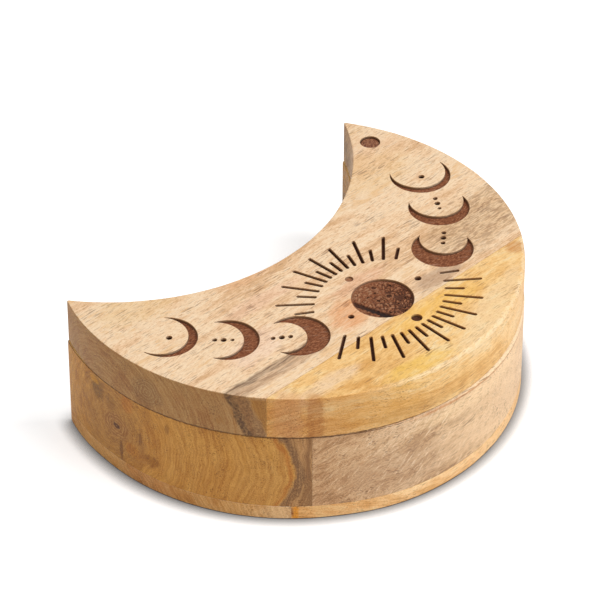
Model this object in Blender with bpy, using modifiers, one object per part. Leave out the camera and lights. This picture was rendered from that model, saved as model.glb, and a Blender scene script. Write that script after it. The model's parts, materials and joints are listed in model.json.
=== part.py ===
"""Crescent-moon keepsake box in mango wood, with a lid that swivels on a screw near one tip.

Metres, +Z up. The origin is under the middle of the box: +X runs towards the tip that holds
the pivot, the round belly faces -Y and the hollow side faces +Y.
"""
import math

import bmesh
import bpy
from mathutils import Matrix, Vector

# Plan outline: a round belly with a second circle taken out of it
BELLY_RADIUS = 0.0900
HOLLOW_RADIUS = 0.0926
HOLLOW_OFFSET = 0.0922
TIP_RADIUS = 0.0010
BELLY_STEPS = 84
HOLLOW_STEPS = 44
TIP_STEPS = 5

# Boards, from the table up
BASE_THICKNESS = 0.0060
WALL_HEIGHT = 0.0330
LID_THICKNESS = 0.0185
LID_GAP = 0.0003
LID_INSET = 0.0004
GLUE_LINE = 0.0001

# Cavity, cut right through the wall blocks
WALL_THICKNESS = 0.0090
CAVITY_CORNER = 0.0100
CAVITY_STEPS = 8

# Sanded edges
LID_TOP_EASE = 0.0005
LID_UNDER_EASE = 0.0004
RIM_EASE = 0.0007
CAVITY_EASE = 0.0005
FOOT_EASE = 0.0007
EASE_STEPS = 2

# Glued seams: widths of the front boards at the belly, and the slant that all seams share
LID_FRONT_WIDTH = 0.0340
WALL_FRONT_WIDTH = 0.0223
BASE_FRONT_WIDTH = 0.0277
SEAM_SLANT = math.radians(-2.3)

# Swivel: the pivot's distances from the two sides of its horn, then its pieces from the top down
PIVOT_FROM_BELLY = 0.0104
PIVOT_FROM_HOLLOW = 0.0080
PLUG_RADIUS = 0.0039
PLUG_LENGTH = 0.0040
PLUG_SUNK = 0.0009
HEAD_SPACE = 0.0003
HEAD_RADIUS = 0.0035
HEAD_HEIGHT = 0.0024
HEAD_STEPS = 4
DRIVE_WIDTH = 0.0008
DRIVE_SPAN = 0.0036
DRIVE_DEPTH = 0.0012
SHANK_RADIUS = 0.0020
SHANK_LENGTH = 0.0280
POINT_LENGTH = 0.0045
HEAD_WASHER_RADIUS = 0.0036
HEAD_WASHER_THICKNESS = 0.0008
PIVOT_WASHER_RADIUS = 0.0050
PIVOT_WASHER_THICKNESS = 0.0010
WASHER_PROUD = 0.0002
SEAT_GAP = 0.0001
SCREW_CLEARANCE = 0.0002
SWIVEL_CLEARANCE = 0.0003
ROUND_STEPS = 28

# Carving on the lid: how far it sits off the middle of the waist, and its turn on the board
CARVING_SHIFT = 0.0015
CARVING_TURN = math.radians(-1.6)
MOON_DEPTH = 0.0018
DOT_DEPTH = 0.0014
RAY_DEPTH = 0.0012
FAINT_DEPTH = 0.0006
MOON_RADIUS = 0.0119
MOON_STEPS = 28
DOT_STEPS = 10

# Waning moons on each arm: where each one stands from the belly's centre and in from its edge,
# the way its horns open, half the angle between them, its thickest place, and the dots in a row
# along its opening, by radius, with the first one's distance from the moon's centre
PHASES = (
    {"bearing": math.radians(-1.6), "inset": 0.0192, "opening": math.radians(66.2),
     "half_angle": math.radians(66.7), "thickness": 0.0032,
     "first_dot": -0.0013, "dots": (0.00115,)},
    {"bearing": math.radians(-20.4), "inset": 0.0276, "opening": math.radians(50.8),
     "half_angle": math.radians(64.0), "thickness": 0.0054,
     "first_dot": -0.0008, "dots": (0.0007, 0.0011, 0.0009)},
    {"bearing": math.radians(-45.1), "inset": 0.0339, "opening": math.radians(41.2),
     "half_angle": math.radians(50.7), "thickness": 0.0083,
     "first_dot": 0.0034, "dots": (0.0009, 0.0011, 0.0009)},
)
DOT_PITCH = 0.0033

# Four dots round the full moon
STAR_DISTANCE = 0.0173
STARS = (
    {"bearing": math.radians(90), "radius": 0.0016, "depth": FAINT_DEPTH},
    {"bearing": math.radians(180), "radius": 0.0012, "depth": DOT_DEPTH},
    {"bearing": math.radians(0), "radius": 0.0013, "depth": DOT_DEPTH},
    {"bearing": math.radians(270), "radius": 0.0021, "depth": DOT_DEPTH},
)

# Two fans of rays, by turns short and long, round an eye-shaped field: the arc that their feet
# stand on, its centre behind the full moon, half its spread, and how much wider the rays open
RAY_WIDTH = 0.0011
RAY_SHORT = 0.0073
RAY_LONG = 0.0146
RAY_END_STEPS = 3
BACK_FAN = {"middle": math.radians(90), "radius": 0.0319, "centre": -0.0087, "count": 15,
            "spread": math.radians(46.0), "opening": 1.22}
FRONT_FAN = {"middle": math.radians(-90), "radius": 0.0301, "centre": 0.0092, "count": 18,
             "spread": math.radians(61.5), "opening": 1.02}

CUTTER_OVERSHOOT = 0.0020
WELD = 0.000001
SCREW_WELD = 0.00001
FLAT = math.radians(1)
SMOOTH_ANGLE = math.radians(32)


# Scene helpers

def clear_scene():
    for obj in list(bpy.data.objects):
        bpy.data.objects.remove(obj, do_unlink=True)


def new_collection(name):
    collection = bpy.data.collections.new(name)
    bpy.context.scene.collection.children.link(collection)
    return collection


def new_material(name, colour, roughness, metallic=0.0):
    material = bpy.data.materials.new(name)
    material.use_nodes = True
    shader = material.node_tree.nodes["Principled BSDF"]
    shader.inputs["Base Color"].default_value = (*colour, 1.0)
    shader.inputs["Roughness"].default_value = roughness
    shader.inputs["Metallic"].default_value = metallic
    return material


def new_object(name, mesh, collection, material=None):
    mesh.name = name
    obj = bpy.data.objects.new(name, mesh)
    collection.objects.link(obj)
    if material is not None:
        mesh.materials.append(material)
    mesh.shade_smooth()
    mesh.set_sharp_from_angle(angle=SMOOTH_ANGLE)
    return obj


def as_cutter(obj):
    obj.hide_render = True
    obj.display_type = "WIRE"
    return obj


def cut(obj, cutter):
    modifier = obj.modifiers.new(cutter.name, "BOOLEAN")
    modifier.operation = "DIFFERENCE"
    modifier.solver = "EXACT"
    modifier.object = cutter


# Outlines: lists of points that run anticlockwise

def arc(centre, radius, start, end, steps):
    """Points on an arc, with both ends."""
    angles = [start + (end - start) * i / steps for i in range(steps + 1)]
    return [(centre[0] + radius * math.cos(a), centre[1] + radius * math.sin(a)) for a in angles]


def circle(centre, radius, steps):
    return arc(centre, radius, 0.0, 2 * math.pi, steps)[:-1]


def horn_point(from_belly, from_hollow):
    """The point in the right-hand horn at given distances from its two curved sides."""
    reach = BELLY_RADIUS - from_belly
    clear = HOLLOW_RADIUS + from_hollow
    y = (reach ** 2 - clear ** 2 + HOLLOW_OFFSET ** 2) / (2 * HOLLOW_OFFSET)
    return math.sqrt(reach ** 2 - y ** 2), y


def crescent(inset, corner, corner_steps):
    """The box's plan drawn in by an inset on every side, with both tips rounded."""
    x, y = horn_point(inset + corner, inset + corner)
    belly_end = math.atan2(y, x)
    hollow_end = math.atan2(HOLLOW_OFFSET - y, x)
    belly = arc((0, 0), BELLY_RADIUS - inset, -math.pi - belly_end, belly_end, BELLY_STEPS)
    right = arc((x, y), corner, belly_end, math.pi - hollow_end, corner_steps)
    hollow = arc((0, HOLLOW_OFFSET), HOLLOW_RADIUS + inset, -hollow_end, hollow_end - math.pi,
                 HOLLOW_STEPS)
    left = arc((-x, y), corner, hollow_end, math.pi - belly_end, corner_steps)
    return belly + right[1:-1] + hollow + left[1:-1]


def moon_phase(centre, opening, half_angle, thickness):
    """A waning moon: a round back, and a flatter inner arc through the same two horns."""
    back = arc(centre, MOON_RADIUS, opening + half_angle, opening - half_angle + 2 * math.pi,
               MOON_STEPS)
    waist = MOON_RADIUS - thickness
    across = MOON_RADIUS * math.cos(half_angle)
    shift = (MOON_RADIUS ** 2 - waist ** 2) / (2 * (waist + across))
    middle = (centre[0] + shift * math.cos(opening), centre[1] + shift * math.sin(opening))
    horn = math.atan2(MOON_RADIUS * math.sin(half_angle), across - shift)
    front = arc(middle, shift + waist, opening - horn + 2 * math.pi, opening + horn, MOON_STEPS)
    return back + front[1:-1]


def slot(start, end, width):
    """A straight slot with round ends."""
    way = math.atan2(end[1] - start[1], end[0] - start[0])
    near = arc(start, width / 2, way + math.pi / 2, way + 3 * math.pi / 2, RAY_END_STEPS)
    far = arc(end, width / 2, way - math.pi / 2, way + math.pi / 2, RAY_END_STEPS)
    return near + far


def mirrored(outline):
    return [(-x, y) for x, y in reversed(outline)]


# Solids

def slab(outlines, bottom, top):
    """A mesh between two heights from one or more outlines. An outline inside another is a hole."""
    curve = bpy.data.curves.new("outline", "CURVE")
    curve.dimensions = "2D"
    curve.fill_mode = "BOTH"
    curve.extrude = (top - bottom) / 2
    for outline in outlines:
        spline = curve.splines.new("POLY")
        spline.points.add(len(outline) - 1)
        for point, (x, y) in zip(spline.points, outline):
            point.co = (x, y, 0.0, 1.0)
        spline.use_cyclic_u = True
    guide = bpy.data.objects.new("outline", curve)
    bpy.context.scene.collection.objects.link(guide)
    graph = bpy.context.evaluated_depsgraph_get()
    mesh = bpy.data.meshes.new_from_object(guide.evaluated_get(graph))
    bpy.data.objects.remove(guide, do_unlink=True)
    bpy.data.curves.remove(curve)
    form = bmesh.new()
    form.from_mesh(mesh)
    bmesh.ops.remove_doubles(form, verts=form.verts, dist=WELD)
    inner = [edge for edge in form.edges if edge.calc_face_angle() < FLAT]
    bmesh.ops.dissolve_limit(form, angle_limit=FLAT, verts=[], edges=inner)
    bmesh.ops.recalc_face_normals(form, faces=form.faces)
    for vertex in form.verts:
        vertex.co.z = top if vertex.co.z > 0 else bottom
    form.to_mesh(mesh)
    form.free()
    return mesh


def ease_rims(mesh, rule):
    """Mark the rims that are rounded over. The rule gives the width wanted at a point, or 0."""
    form = bmesh.new()
    form.from_mesh(mesh)
    weight = form.edges.layers.float.new("bevel_weight_edge")
    for edge in form.edges:
        first, second = (vertex.co for vertex in edge.verts)
        if first.z == second.z and edge.calc_face_angle() > FLAT:
            edge[weight] = rule((first + second) / 2) / WIDEST_EASE
    form.to_mesh(mesh)
    form.free()


def round_over(obj):
    modifier = obj.modifiers.new("eased edges", "BEVEL")
    modifier.limit_method = "WEIGHT"
    modifier.width = WIDEST_EASE
    modifier.segments = EASE_STEPS


def turned(name, profile, collection, material=None):
    """A solid of revolution on the pivot, from a profile that runs down its outer side."""
    mesh = bpy.data.meshes.new(name)
    edges = [(i, i + 1) for i in range(len(profile) - 1)]
    if profile[0][0] > 0:
        edges.append((len(profile) - 1, 0))
    mesh.from_pydata([(radius, 0.0, height) for radius, height in profile], edges, [])
    obj = new_object(name, mesh, collection, material)
    obj.location = PIVOT
    screw = obj.modifiers.new("turned", "SCREW")
    screw.steps = ROUND_STEPS
    screw.render_steps = ROUND_STEPS
    screw.use_merge_vertices = True
    screw.merge_threshold = SCREW_WELD
    return obj


def block(name, size, location, turn, collection):
    """A box-shaped cutter."""
    bpy.ops.mesh.primitive_cube_add(size=1.0, location=location, rotation=(0.0, 0.0, turn))
    obj = bpy.context.object
    obj.name = name
    obj.data.transform(Matrix.Diagonal((*size, 1.0)))
    for owner in list(obj.users_collection):
        owner.objects.unlink(obj)
    collection.objects.link(obj)
    return as_cutter(obj)


# Heights, places and a width that several pieces share

WIDEST_EASE = max(LID_TOP_EASE, LID_UNDER_EASE, RIM_EASE, CAVITY_EASE, FOOT_EASE)
TIP_TOP = horn_point(TIP_RADIUS, TIP_RADIUS)[1] + TIP_RADIUS
BELLY_CENTRE = Vector((0.0, (BELLY_RADIUS - TIP_TOP) / 2, 0.0))
WAIST = BELLY_RADIUS - HOLLOW_RADIUS + HOLLOW_OFFSET
CARVING_RISE = BELLY_RADIUS - WAIST / 2
WALL_BOTTOM = BASE_THICKNESS + GLUE_LINE
WALL_TOP = WALL_BOTTOM + WALL_HEIGHT
LID_BOTTOM = WALL_TOP + LID_GAP
LID_TOP = LID_BOTTOM + LID_THICKNESS
PLUG_TOP = LID_TOP - PLUG_SUNK
PLUG_BOTTOM = PLUG_TOP - PLUG_LENGTH
HEAD_TOP = PLUG_BOTTOM - HEAD_SPACE
HEAD_BOTTOM = HEAD_TOP - HEAD_HEIGHT
HEAD_WASHER_TOP = HEAD_BOTTOM - SEAT_GAP
HEAD_WASHER_BOTTOM = HEAD_WASHER_TOP - HEAD_WASHER_THICKNESS
COUNTERBORE_FLOOR = HEAD_WASHER_BOTTOM - SEAT_GAP
SHANK_BOTTOM = HEAD_BOTTOM - SHANK_LENGTH
PIVOT_WASHER_TOP = WALL_TOP + WASHER_PROUD
PIVOT_WASHER_BOTTOM = PIVOT_WASHER_TOP - PIVOT_WASHER_THICKNESS
WASHER_SEAT = PIVOT_WASHER_BOTTOM - SEAT_GAP
PIVOT = BELLY_CENTRE + Vector((*horn_point(PIVOT_FROM_BELLY, PIVOT_FROM_HOLLOW), 0.0))


# Boards

def board_pair(kind, mesh, front_width, materials, places, cutters):
    """A rear and a front board from one slab, parted by the glue line between them."""
    reach = 4 * BELLY_RADIUS
    across = Vector((-math.sin(SEAM_SLANT), math.cos(SEAM_SLANT), 0.0))
    on_seam = BELLY_CENTRE + Vector((0.0, front_width - BELLY_RADIUS, 0.0))
    pair = []
    for which, side, material in (("rear", 1, materials[0]), ("front", -1, materials[1])):
        obj = new_object(f"{kind[0]}_{which}_{kind[1]}", mesh.copy(), places, material)
        obj.location = BELLY_CENTRE
        round_over(obj)
        middle = on_seam - across * side * (reach - GLUE_LINE) / 2
        beyond = block(f"beyond_{obj.name}", (reach, reach, reach), middle, SEAM_SLANT, cutters)
        cut(obj, beyond)
        pair.append(obj)
    return pair


def base_boards(materials, places, cutters):
    mesh = slab([crescent(0.0, TIP_RADIUS, TIP_STEPS)], 0.0, BASE_THICKNESS)
    ease_rims(mesh, lambda point: FOOT_EASE if point.z < BASE_THICKNESS / 2 else 0.0)
    return board_pair(("base", "board"), mesh, BASE_FRONT_WIDTH, materials, places, cutters)


def in_cavity(point):
    """Whether a point of a rim belongs to the cavity and not to the outside."""
    middle = WALL_THICKNESS / 2
    beyond = point.to_2d() - Vector((0.0, HOLLOW_OFFSET))
    return point.to_2d().length < BELLY_RADIUS - middle and beyond.length > HOLLOW_RADIUS + middle


def wall_blocks(materials, places, cutters):
    """The ring of solid wood round the cavity, with both horns left solid."""
    outside = crescent(0.0, TIP_RADIUS, TIP_STEPS)
    cavity = crescent(WALL_THICKNESS, CAVITY_CORNER, CAVITY_STEPS)
    mesh = slab([outside, cavity], WALL_BOTTOM, WALL_TOP)

    def rim_width(point):
        if point.z < (WALL_BOTTOM + WALL_TOP) / 2:
            return 0.0
        return CAVITY_EASE if in_cavity(point) else RIM_EASE

    ease_rims(mesh, rim_width)
    pair = board_pair(("wall", "block"), mesh, WALL_FRONT_WIDTH, materials, places, cutters)
    seat = PIVOT_WASHER_RADIUS + SCREW_CLEARANCE
    bore = SHANK_RADIUS + SCREW_CLEARANCE
    bottom = SHANK_BOTTOM - SEAT_GAP
    top = WALL_TOP + CUTTER_OVERSHOOT
    profile = [(0.0, top), (seat, top), (seat, WASHER_SEAT), (bore, WASHER_SEAT), (bore, bottom),
               (0.0, bottom)]
    cut(pair[0], as_cutter(turned("horn_bore", profile, cutters)))
    return pair


def lid_boards(materials, places, cutters):
    mesh = slab([crescent(LID_INSET, TIP_RADIUS - LID_INSET, TIP_STEPS)], LID_BOTTOM, LID_TOP)
    middle = (LID_BOTTOM + LID_TOP) / 2
    ease_rims(mesh, lambda point: LID_TOP_EASE if point.z > middle else LID_UNDER_EASE)
    pair = board_pair(("lid", "board"), mesh, LID_FRONT_WIDTH, materials, places, cutters)
    for cutter in carving_cutters(cutters):
        for board in pair:
            cut(board, cutter)
    counterbore = PLUG_RADIUS + GLUE_LINE
    bore = SHANK_RADIUS + SWIVEL_CLEARANCE
    top = LID_TOP + CUTTER_OVERSHOOT
    bottom = LID_BOTTOM - CUTTER_OVERSHOOT
    profile = [(0.0, top), (counterbore, top), (counterbore, COUNTERBORE_FLOOR),
               (bore, COUNTERBORE_FLOOR), (bore, bottom), (0.0, bottom)]
    cut(pair[0], as_cutter(turned("lid_bore", profile, cutters)))
    return pair


# Carving

def phase_outlines():
    """The waning moons of both arms, and the dots that stand along each one's opening."""
    moons = []
    dots = []
    for phase in PHASES:
        reach = BELLY_RADIUS - phase["inset"]
        x = reach * math.cos(phase["bearing"])
        y = CARVING_RISE + reach * math.sin(phase["bearing"])
        opening = phase["opening"]
        moon = moon_phase((x, y), opening, phase["half_angle"], phase["thickness"])
        moons += [moon, mirrored(moon)]
        for i, radius in enumerate(phase["dots"]):
            along = phase["first_dot"] + i * DOT_PITCH
            place = (x + along * math.cos(opening), y + along * math.sin(opening))
            dot = circle(place, radius, DOT_STEPS)
            dots += [dot, mirrored(dot)]
    return moons, dots


def ray_outlines(fan):
    """One fan of rays. They start on its arc and point away from the full moon."""
    outlines = []
    for i in range(fan["count"]):
        offset = fan["spread"] * (1 - 2 * i / (fan["count"] - 1))
        bearing = fan["middle"] + offset
        heading = fan["middle"] + offset * fan["opening"]
        foot = Vector((math.cos(bearing), math.sin(bearing))) * fan["radius"]
        foot.y += fan["centre"]
        way = Vector((math.cos(heading), math.sin(heading)))
        length = RAY_LONG if i % 2 else RAY_SHORT
        end = foot + way * (length - RAY_WIDTH / 2)
        outlines.append(slot(foot + way * RAY_WIDTH / 2, end, RAY_WIDTH))
    return outlines


def carving_cutters(cutters):
    """The recesses in the lid, one cutter for each kind, turned and placed on the board."""
    moons, dots = phase_outlines()
    moons.append(circle((0, 0), MOON_RADIUS, 2 * MOON_STEPS))
    kinds = [("moons", moons, MOON_DEPTH), ("dots", dots, DOT_DEPTH),
             ("back_rays", ray_outlines(BACK_FAN), RAY_DEPTH),
             ("front_rays", ray_outlines(FRONT_FAN), RAY_DEPTH)]
    for i, star in enumerate(STARS):
        place = Vector((math.cos(star["bearing"]), math.sin(star["bearing"]))) * STAR_DISTANCE
        dot = circle(place, star["radius"], DOT_STEPS)
        kinds.append((f"star_{i + 1}", [dot], star["depth"]))
    made = []
    for name, outlines, depth in kinds:
        mesh = slab(outlines, LID_TOP - depth, LID_TOP + CUTTER_OVERSHOOT)
        obj = as_cutter(new_object(name, mesh, cutters))
        obj.location = BELLY_CENTRE + Vector((CARVING_SHIFT, -CARVING_RISE, 0.0))
        obj.rotation_euler = (0.0, 0.0, CARVING_TURN)
        made.append(obj)
    return made


# Swivel pieces

def pivot_screw(material, places, cutters):
    """A round-head wood screw with a cross recess, driven into the horn."""
    dome = [(HEAD_RADIUS * math.sin(i * math.pi / 2 / HEAD_STEPS),
             HEAD_BOTTOM + HEAD_HEIGHT * math.cos(i * math.pi / 2 / HEAD_STEPS))
            for i in range(HEAD_STEPS + 1)]
    profile = dome + [(SHANK_RADIUS, HEAD_BOTTOM), (SHANK_RADIUS, SHANK_BOTTOM + POINT_LENGTH),
                      (0.0, SHANK_BOTTOM)]
    screw = turned("pivot_screw", profile, places, material)
    size = (DRIVE_SPAN, DRIVE_WIDTH, 2 * DRIVE_DEPTH)
    for i in range(2):
        place = PIVOT + Vector((0.0, 0.0, HEAD_TOP))
        cut(screw, block(f"drive_{i + 1}", size, place, i * math.pi / 2, cutters))
    return screw


def washer(name, radius, bottom, top, material, places):
    bore = SHANK_RADIUS + SCREW_CLEARANCE
    return turned(name, [(radius, top), (radius, bottom), (bore, bottom), (bore, top)], places,
                  material)


def pivot_plug(material, places):
    """The brown wooden plug that hides the screw, glued in the lid a little below its face."""
    profile = [(0.0, PLUG_TOP), (PLUG_RADIUS, PLUG_TOP), (PLUG_RADIUS, PLUG_BOTTOM),
               (0.0, PLUG_BOTTOM)]
    return turned("pivot_plug", profile, places, material)


def main():
    clear_scene()
    box = new_collection("moon_box")
    cutters = new_collection("cutters")
    pale = new_material("pale mango wood", (0.72, 0.50, 0.31), 0.55)
    golden = new_material("golden mango wood", (0.68, 0.43, 0.16), 0.55)
    brown = new_material("brown mango wood", (0.46, 0.28, 0.14), 0.58)
    sand = new_material("sand mango wood", (0.55, 0.37, 0.20), 0.58)
    stained = new_material("stained plug wood", (0.13, 0.05, 0.03), 0.62)
    steel = new_material("zinc-plated steel", (0.62, 0.60, 0.55), 0.32, 1.0)
    nylon = new_material("white nylon", (0.80, 0.79, 0.75), 0.45)
    base_boards((sand, golden), box, cutters)
    wall_blocks((brown, sand), box, cutters)
    lid = lid_boards((pale, golden), box, cutters)
    pivot_screw(steel, box, cutters)
    washer("head_washer", HEAD_WASHER_RADIUS, HEAD_WASHER_BOTTOM, HEAD_WASHER_TOP, steel, box)
    washer("pivot_washer", PIVOT_WASHER_RADIUS, PIVOT_WASHER_BOTTOM, PIVOT_WASHER_TOP, nylon, box)
    plug = pivot_plug(stained, box)
    swivel = bpy.data.objects.new("lid_swivel", None)
    box.objects.link(swivel)
    swivel.location = PIVOT
    for piece in (*lid, plug):
        piece.parent = swivel
        piece.location -= PIVOT


main()
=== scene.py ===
"""Looks of the crescent-moon keepsake box: its mango wood, its carving, the floor and the light."""

import json
import math
import random

import bmesh
import bpy
from mathutils import Matrix, Vector, noise


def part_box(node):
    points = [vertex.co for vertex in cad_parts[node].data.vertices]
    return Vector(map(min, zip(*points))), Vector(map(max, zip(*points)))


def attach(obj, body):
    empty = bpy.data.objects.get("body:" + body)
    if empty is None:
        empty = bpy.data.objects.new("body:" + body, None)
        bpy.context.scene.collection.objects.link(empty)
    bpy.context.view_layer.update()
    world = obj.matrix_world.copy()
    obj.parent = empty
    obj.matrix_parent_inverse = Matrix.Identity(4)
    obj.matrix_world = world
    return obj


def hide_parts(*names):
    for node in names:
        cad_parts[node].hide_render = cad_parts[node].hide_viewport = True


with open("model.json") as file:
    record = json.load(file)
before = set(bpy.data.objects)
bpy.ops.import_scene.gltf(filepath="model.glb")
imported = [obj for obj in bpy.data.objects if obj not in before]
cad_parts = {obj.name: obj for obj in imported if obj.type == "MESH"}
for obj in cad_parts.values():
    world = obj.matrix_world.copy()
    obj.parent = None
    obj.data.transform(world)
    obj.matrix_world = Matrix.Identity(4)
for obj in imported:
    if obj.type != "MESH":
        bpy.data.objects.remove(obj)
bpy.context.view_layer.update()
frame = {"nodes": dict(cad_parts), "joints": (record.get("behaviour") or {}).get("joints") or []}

# Heights and places from the frame
BASE_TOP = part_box("base_rear_board")[1].z
WALL_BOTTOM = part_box("wall_rear_block")[0].z
WALL_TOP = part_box("wall_rear_block")[1].z
LID_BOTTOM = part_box("lid_rear_board")[0].z
LID_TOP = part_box("lid_rear_board")[1].z
PLUG_LOW, PLUG_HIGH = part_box("pivot_plug")
PLUG_RADIUS = (PLUG_HIGH.x - PLUG_LOW.x) / 2
WASHER_LOW, WASHER_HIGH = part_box("pivot_washer")
HEAD_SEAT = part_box("head_washer")[0].z
SCREW_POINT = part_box("pivot_screw")[0].z
PIVOT = Vector(frame["joints"][0]["pos_m"])

# Plan of the crescent
BELLY_RADIUS = 0.0900
HOLLOW_RADIUS = 0.0926
HOLLOW_OFFSET = 0.0922
TIP_RADIUS = 0.0010
TIP_STEPS = 7
LID_INSET = 0.0004
WALL_THICKNESS = 0.0090
CAVITY_CORNER = 0.0100
BELLY_CENTRE = Vector((0.0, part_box("wall_front_block")[0].y + BELLY_RADIUS, 0.0))
WAIST = BELLY_RADIUS - HOLLOW_RADIUS + HOLLOW_OFFSET
CARVING_RISE = BELLY_RADIUS - WAIST / 2

# Sanded edges
LID_TOP_EASE = 0.0005
LID_UNDER_EASE = 0.0004
WORN_EASE = 0.0016
RIM_EASE = 0.0007
WORN_RIM_EASE = 0.0017
CAVITY_EASE = 0.0005
PLUG_EASE = 0.0004
FOOT_EASE = 0.0007
SAWN_EDGE = 0.00012
EASE_STEPS = 6
UNEVENNESS = 0.10
WAVE_POINTS = 404
CREASE = math.radians(34)
LEVEL = 0.9995

# Stretches of the belly's side: bearing of the middle, half of the width, and fade, in degrees
WORN_LID = (-72, 16, 22)
WORN_WALL = (-78, 26, 14)
SAWN_SIDE = (-158, 28, 22)
SAWN_IN = 0.0009

# Glued seams, bores, and how far cutters reach past the wood
GLUE_LINE = 0.0001
SEAT_GAP = 0.0001
SCREW_CLEARANCE = 0.0002
LID_BORE = 0.0023
WALL_BORE = 0.0022
SEAM_SLANT = math.radians(-2.3)
LID_FRONT_WIDTH = 0.0340
WALL_FRONT_WIDTH = 0.0223
BASE_FRONT_WIDTH = 0.0277
PAST = 0.002

# Sizes of the carving
CARVING_SHIFT = 0.0015
CARVING_TURN = math.radians(-1.6)
MOON_DEPTH = 0.00125
DOT_DEPTH = 0.0016
RAY_DEPTH = 0.0015
FAINT_DEPTH = 0.0009
LIP = 0.00012
FLOOR_FILLET = 0.00035
DRAFT = 0.00010
MOON_RADIUS = 0.0119

# Floor of the full moon
MOON_SEED = 5
MOON_STEPS = 216
MOON_RINGS = 76
FLOOR_MEAN = 0.98
FLOOR_TILT = Vector((0.10, -0.12))
FLOOR_LOW = -0.0007
FLOOR_HIGH = 0.0004
WRINKLE_SIZE = 0.0014
WRINKLE_HEIGHT = 0.00115
BEND_SIZE = 0.0032
BEND_REACH = 0.0010
SWELL_SIZE = 0.0045
SWELL_HEIGHT = 0.00016
CRATER_COUNT = 18
CRATER_RADII = (0.0004, 0.0006, 0.0008, 0.0012)
CRATER_BOWL = 0.00028
CRATER_RIM = 0.00030
VALLEY_X = -0.0073
VALLEY_Y = -0.0010
VALLEY_BEND = 0.26
VALLEY_REACH = 0.0110
VALLEY_WIDTH = 0.0012
VALLEY_DEPTH = 0.00085

# Each moon: its middle, the bearings of its opening and half of its horns' angle, its first dot
PHASES = (
    {"thickness": 0.0036, "dots": (0.00115,), "moons": (
        (0.0689, 0.0433, 66, 64, -0.0013),
        (-0.0730, 0.0423, 116, 66, -0.0013))},
    {"thickness": 0.0058, "dots": (0.0007, 0.0011, 0.0009), "moons": (
        (0.0580, 0.0236, 56, 64, -0.0008),
        (-0.0584, 0.0245, 134, 63, -0.0018))},
    {"thickness": 0.0087, "dots": (0.0009, 0.0011, 0.0009), "moons": (
        (0.0390, 0.0047, 39, 50, 0.0034),
        (-0.0384, 0.0072, 143, 46, 0.0030))},
)
DOT_PITCH = 0.0033
STARS = (
    {"bearing": 90, "reach": 0.0173, "radius": 0.0016, "depth": FAINT_DEPTH},
    {"bearing": 177, "reach": 0.0165, "radius": 0.0012, "depth": DOT_DEPTH},
    {"bearing": -4, "reach": 0.0184, "radius": 0.0013, "depth": DOT_DEPTH},
    {"bearing": 270, "reach": 0.0173, "radius": 0.0021, "depth": RAY_DEPTH},
)
RAY_WIDTH = 0.0013
RAY_SHORT = 0.0077
RAY_LONG = 0.0149
BACK_FAN = {"middle": math.radians(90), "radius": 0.0313, "centre": (-0.0012, -0.0088),
            "count": 15, "spread": math.radians(46.2), "turn": math.radians(55)}
FRONT_FAN = {"middle": math.radians(-90), "radius": 0.0298, "centre": (0.0002, 0.0090),
             "count": 18, "spread": math.radians(62.0), "turn": math.radians(56)}
FAN_EVENNESS = 0.8

# Wood: materials measure in millimetres, and these noise levels carry the five tones
MM = 1000.0
TONE_STOPS = (0.41, 0.46, 0.50, 0.545, 0.60)

# Camera: its place round the box, and the point that it looks at
CAMERA_AZIMUTH = math.radians(-48.05)
CAMERA_ELEVATION = math.radians(37.46)
CAMERA_DISTANCE = 1.4605
CAMERA_LENS = 224.9
CAMERA_TARGET = BELLY_CENTRE + Vector((0.0098, 0.0041, 0.0270))

# Light: a large soft lamp on the camera's right, a weak one on its left, and a pale sky
KEY = {"azimuth": math.radians(22), "elevation": math.radians(53), "power": 14.2}
FILL = {"azimuth": math.radians(-100), "elevation": math.radians(30), "power": 4.8}
LAMP_DISTANCE = 1.4
LAMP_SIZE = 0.9
SKY_LEVEL = 0.36

# Floor: white paper that shows a shadow only close to the box, with painted contact shade there
FLOOR_REACH = 3.0
FLOOR_DROP = 0.00005
FLOOR_WHITE = 0.86
FLOOR_LIFT = 0.50
CONTACT_REACH = 0.007
CONTACT_POWER = 2.2


# Outlines: points with their outward normals and the room on their inner side

def heading(angle):
    return Vector((math.cos(angle), math.sin(angle)))


def arc(centre, radius, start, end, steps, outward=1, room=1.0):
    """Points along an arc, each with its normal and its room."""
    points = []
    for i in range(steps + 1):
        angle = start + (end - start) * i / steps
        way = heading(angle)
        points.append((Vector(centre) + way * radius, way * outward, room))
    return points


def circle(centre, radius, steps):
    return arc(centre, radius, 0.0, 2 * math.pi, steps, room=radius)[:-1]


def horn_point(from_belly, from_hollow):
    """The point in the right-hand horn at given distances from its two curved sides."""
    reach = BELLY_RADIUS - from_belly
    clear = HOLLOW_RADIUS + from_hollow
    y = (reach ** 2 - clear ** 2 + HOLLOW_OFFSET ** 2) / (2 * HOLLOW_OFFSET)
    return math.sqrt(reach ** 2 - y ** 2), y


def crescent(inset, corner, corner_steps, belly_steps=260, hollow_steps=140):
    """The box's plan drawn in by an inset on every side, with both tips rounded."""
    x, y = horn_point(inset + corner, inset + corner)
    belly_end = math.atan2(y, x)
    hollow_end = math.atan2(HOLLOW_OFFSET - y, x)
    belly = arc((0, 0), BELLY_RADIUS - inset, -math.pi - belly_end, belly_end, belly_steps)
    right = arc((x, y), corner, belly_end, math.pi - hollow_end, corner_steps)
    hollow = arc((0, HOLLOW_OFFSET), HOLLOW_RADIUS + inset, -hollow_end, hollow_end - math.pi,
                 hollow_steps, outward=-1)
    left = arc((-x, y), corner, hollow_end, math.pi - belly_end, corner_steps)
    return belly + right[1:-1] + hollow + left[1:-1]


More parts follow.
